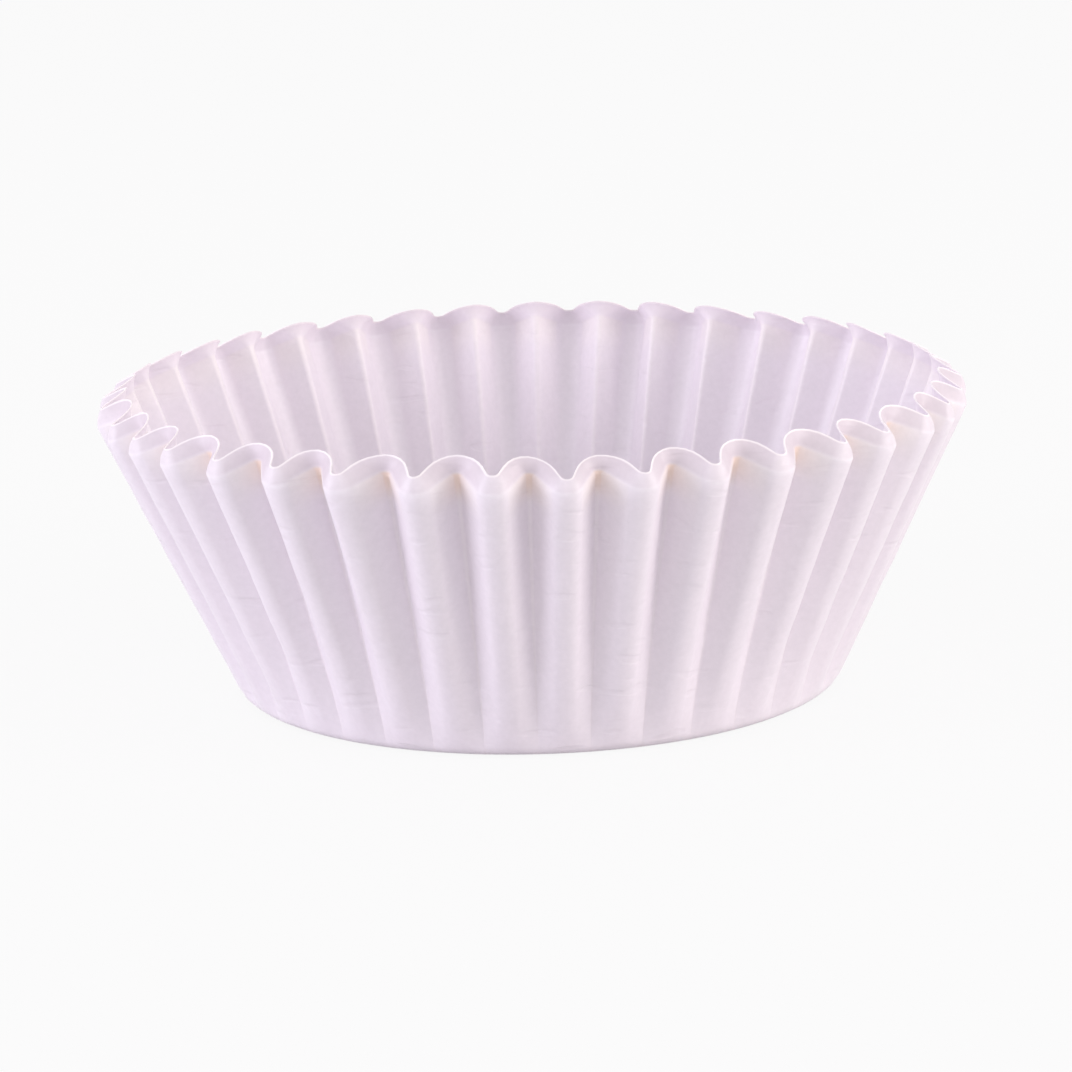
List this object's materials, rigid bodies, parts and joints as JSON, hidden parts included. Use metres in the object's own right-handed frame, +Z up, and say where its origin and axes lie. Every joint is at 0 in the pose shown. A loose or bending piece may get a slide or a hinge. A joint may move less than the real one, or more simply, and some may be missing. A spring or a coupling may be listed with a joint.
{
  "type": "cupcake liner",
  "caption": "Round pleated paper baking cup with a flat base, a flared wall of deep pleats, and a narrow lip above a pressed crease that leans in to a wavy edge.",
  "frame": {"origin": "centre of the flat base, on the surface that it rests on", "axes": "+Z up along the liner's axis, towards its open mouth; +X through the middle of an outer fold"},
  "size_m": [0.0722, 0.072, 0.0261],
  "materials": {
    "paper": "pale lilac greaseproof paper, matt with a faint sheen"
  },
  "bodies": {
    "root": {"pleated_liner": "paper"}
  },
  "joints": []
}
